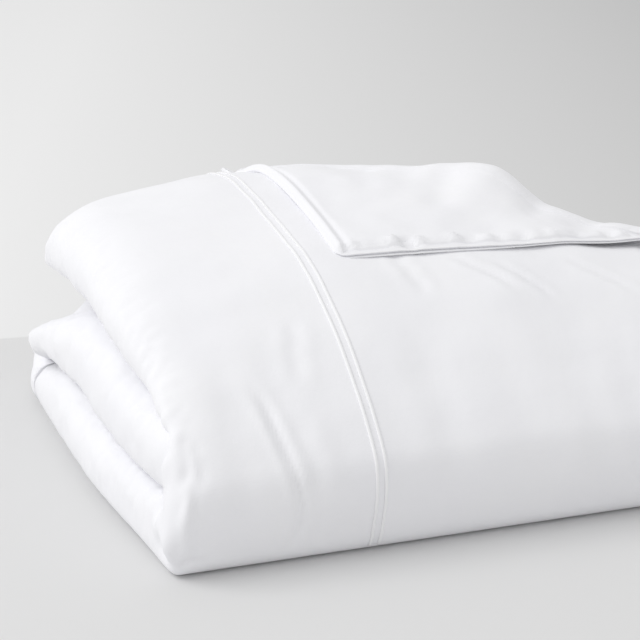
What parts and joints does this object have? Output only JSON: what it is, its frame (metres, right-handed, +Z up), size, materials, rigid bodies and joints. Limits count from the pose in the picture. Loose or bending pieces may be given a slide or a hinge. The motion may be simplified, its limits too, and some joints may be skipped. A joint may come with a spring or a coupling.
{
  "type": "folded duvet",
  "caption": "White duvet folded into a bundle: filled insert in a percale cover with buttoned foot hem, embroidered lines and one corner turned back.",
  "frame": {"origin": "on the floor under the bundle, in the middle of the flat underside", "axes": "+X along the front fold towards the buttoned foot edge, +Y to the back fold, +Z up"},
  "size_m": [0.7515, 0.6544, 0.2865],
  "materials": {
    "percale": "crisp plain-weave cotton, soft matt with a slight sheen",
    "insert_shell": "downproof cotton shell, matt",
    "satin_thread": "mercerised thread, satin",
    "label_tape": "woven tape, matt, blank",
    "button_resin": "polished resin"
  },
  "bodies": {
    "base": {"cover_corner_tie": "label_tape", "cover_face_back_fold": "percale", "cover_face_bottom": "percale", "cover_face_front_fold_lower": "percale", "cover_face_front_fold_upper": "percale", "cover_face_middle": "percale", "cover_reverse_bottom": "percale", "cover_reverse_front_fold_lower": "percale", "cover_reverse_front_fold_upper": "percale", "cover_reverse_middle": "percale", "hem_face_bottom": "percale", "hem_face_middle": "percale", "hem_reverse_bottom": "percale", "hem_reverse_middle": "percale", "insert_back_fold": "insert_shell", "insert_bottom": "insert_shell", "insert_corner_loop": "label_tape", "insert_front_fold_lower": "insert_shell", "insert_front_fold_upper": "insert_shell", "insert_middle": "insert_shell", "insert_piping_middle": "insert_shell", "side_seam_middle": "percale", "stitch_line_a_back_fold": "satin_thread", "stitch_line_a_front_fold_lower": "satin_thread", "stitch_line_a_front_fold_upper": "satin_thread", "stitch_line_a_middle": "satin_thread", "stitch_line_b_back_fold": "satin_thread", "stitch_line_b_front_fold_lower": "satin_thread", "stitch_line_b_front_fold_upper": "satin_thread", "stitch_line_b_middle": "satin_thread"},
    "top_ply": {"cover_face_top": "percale", "cover_reverse_top": "percale", "hem_face_top": "percale", "hem_reverse_top": "percale", "insert_piping_top": "insert_shell", "insert_top": "insert_shell", "side_seam_top": "percale", "stitch_line_a_top": "satin_thread", "stitch_line_b_top": "satin_thread"},
    "corner_flap": {"flap_face_leaf": "percale", "flap_fold_edge": "percale", "flap_hem_face": "percale", "flap_hem_reverse": "percale", "flap_reverse_leaf": "percale", "flap_side_seam": "percale"},
    "care_label": {"care_label": "label_tape"},
    "button_bottom_1": {"button_bottom_1": "button_resin", "thread_button_bottom_1": "satin_thread"},
    "button_bottom_2": {"button_bottom_2": "button_resin", "thread_button_bottom_2": "satin_thread"},
    "button_flap": {"button_flap": "button_resin", "thread_button_flap": "satin_thread"},
    "button_middle_1": {"button_middle_1": "button_resin", "thread_button_middle_1": "satin_thread"},
    "button_middle_2": {"button_middle_2": "button_resin", "thread_button_middle_2": "satin_thread"},
    "button_top_1": {"button_top_1": "button_resin", "thread_button_top_1": "satin_thread"}
  },
  "joints": [
    {"name": "top_ply_unfold", "type": "hinge", "parent": "base", "child": "top_ply", "pos_m": [0, -0.29, 0.15], "axis": [1, 0, 0], "range_deg": [0, 175], "deforming": ["insert_front_fold_upper", "cover_face_front_fold_upper", "cover_reverse_front_fold_upper", "stitch_line_a_front_fold_upper", "stitch_line_b_front_fold_upper"]},
    {"name": "corner_flap_unfold", "type": "hinge", "parent": "top_ply", "child": "corner_flap", "pos_m": [0.095, 0.08, 0.25], "axis": [-0.7071, 0.7071, 0], "range_deg": [0, 150], "deforming": ["flap_fold_edge"]},
    {"name": "care_label_swing", "type": "hinge", "parent": "top_ply", "child": "care_label", "pos_m": [-0.24989, 0.29325, 0.19293], "axis": [0.9981, 0, 0.0621], "range_deg": [0, 110]},
    {"name": "button_bottom_1_turn", "type": "hinge", "parent": "base", "child": "button_bottom_1", "pos_m": [0.3049, -0.08987, 0.03156], "axis": [-0.0258, 0.0333, -0.9991], "range_deg": [-60, 60]},
    {"name": "button_bottom_2_turn", "type": "hinge", "parent": "base", "child": "button_bottom_2", "pos_m": [0.30489, 0.13, 0.03455], "axis": [-0.028, 0.0002, -0.9996], "range_deg": [-60, 60]},
    {"name": "button_flap_turn", "type": "hinge", "parent": "corner_flap", "child": "button_flap", "pos_m": [0.25803, -0.13166, 0.21954], "axis": [-0.4766, 0.2477, -0.8435], "range_deg": [-60, 60]},
    {"name": "button_middle_1_turn", "type": "hinge", "parent": "base", "child": "button_middle_1", "pos_m": [0.30535, -0.06035, 0.12703], "axis": [0.0903, -0.0908, 0.9918], "range_deg": [-60, 60]},
    {"name": "button_middle_2_turn", "type": "hinge", "parent": "base", "child": "button_middle_2", "pos_m": [0.30537, 0.11999, 0.13418], "axis": [0.0959, -0.002, 0.9954], "range_deg": [-60, 60]},
    {"name": "button_top_1_turn", "type": "hinge", "parent": "top_ply", "child": "button_top_1", "pos_m": [0.30549, -0.16913, 0.18375], "axis": [0.1265, -0.2903, 0.9485], "range_deg": [-60, 60]}
  ]
}
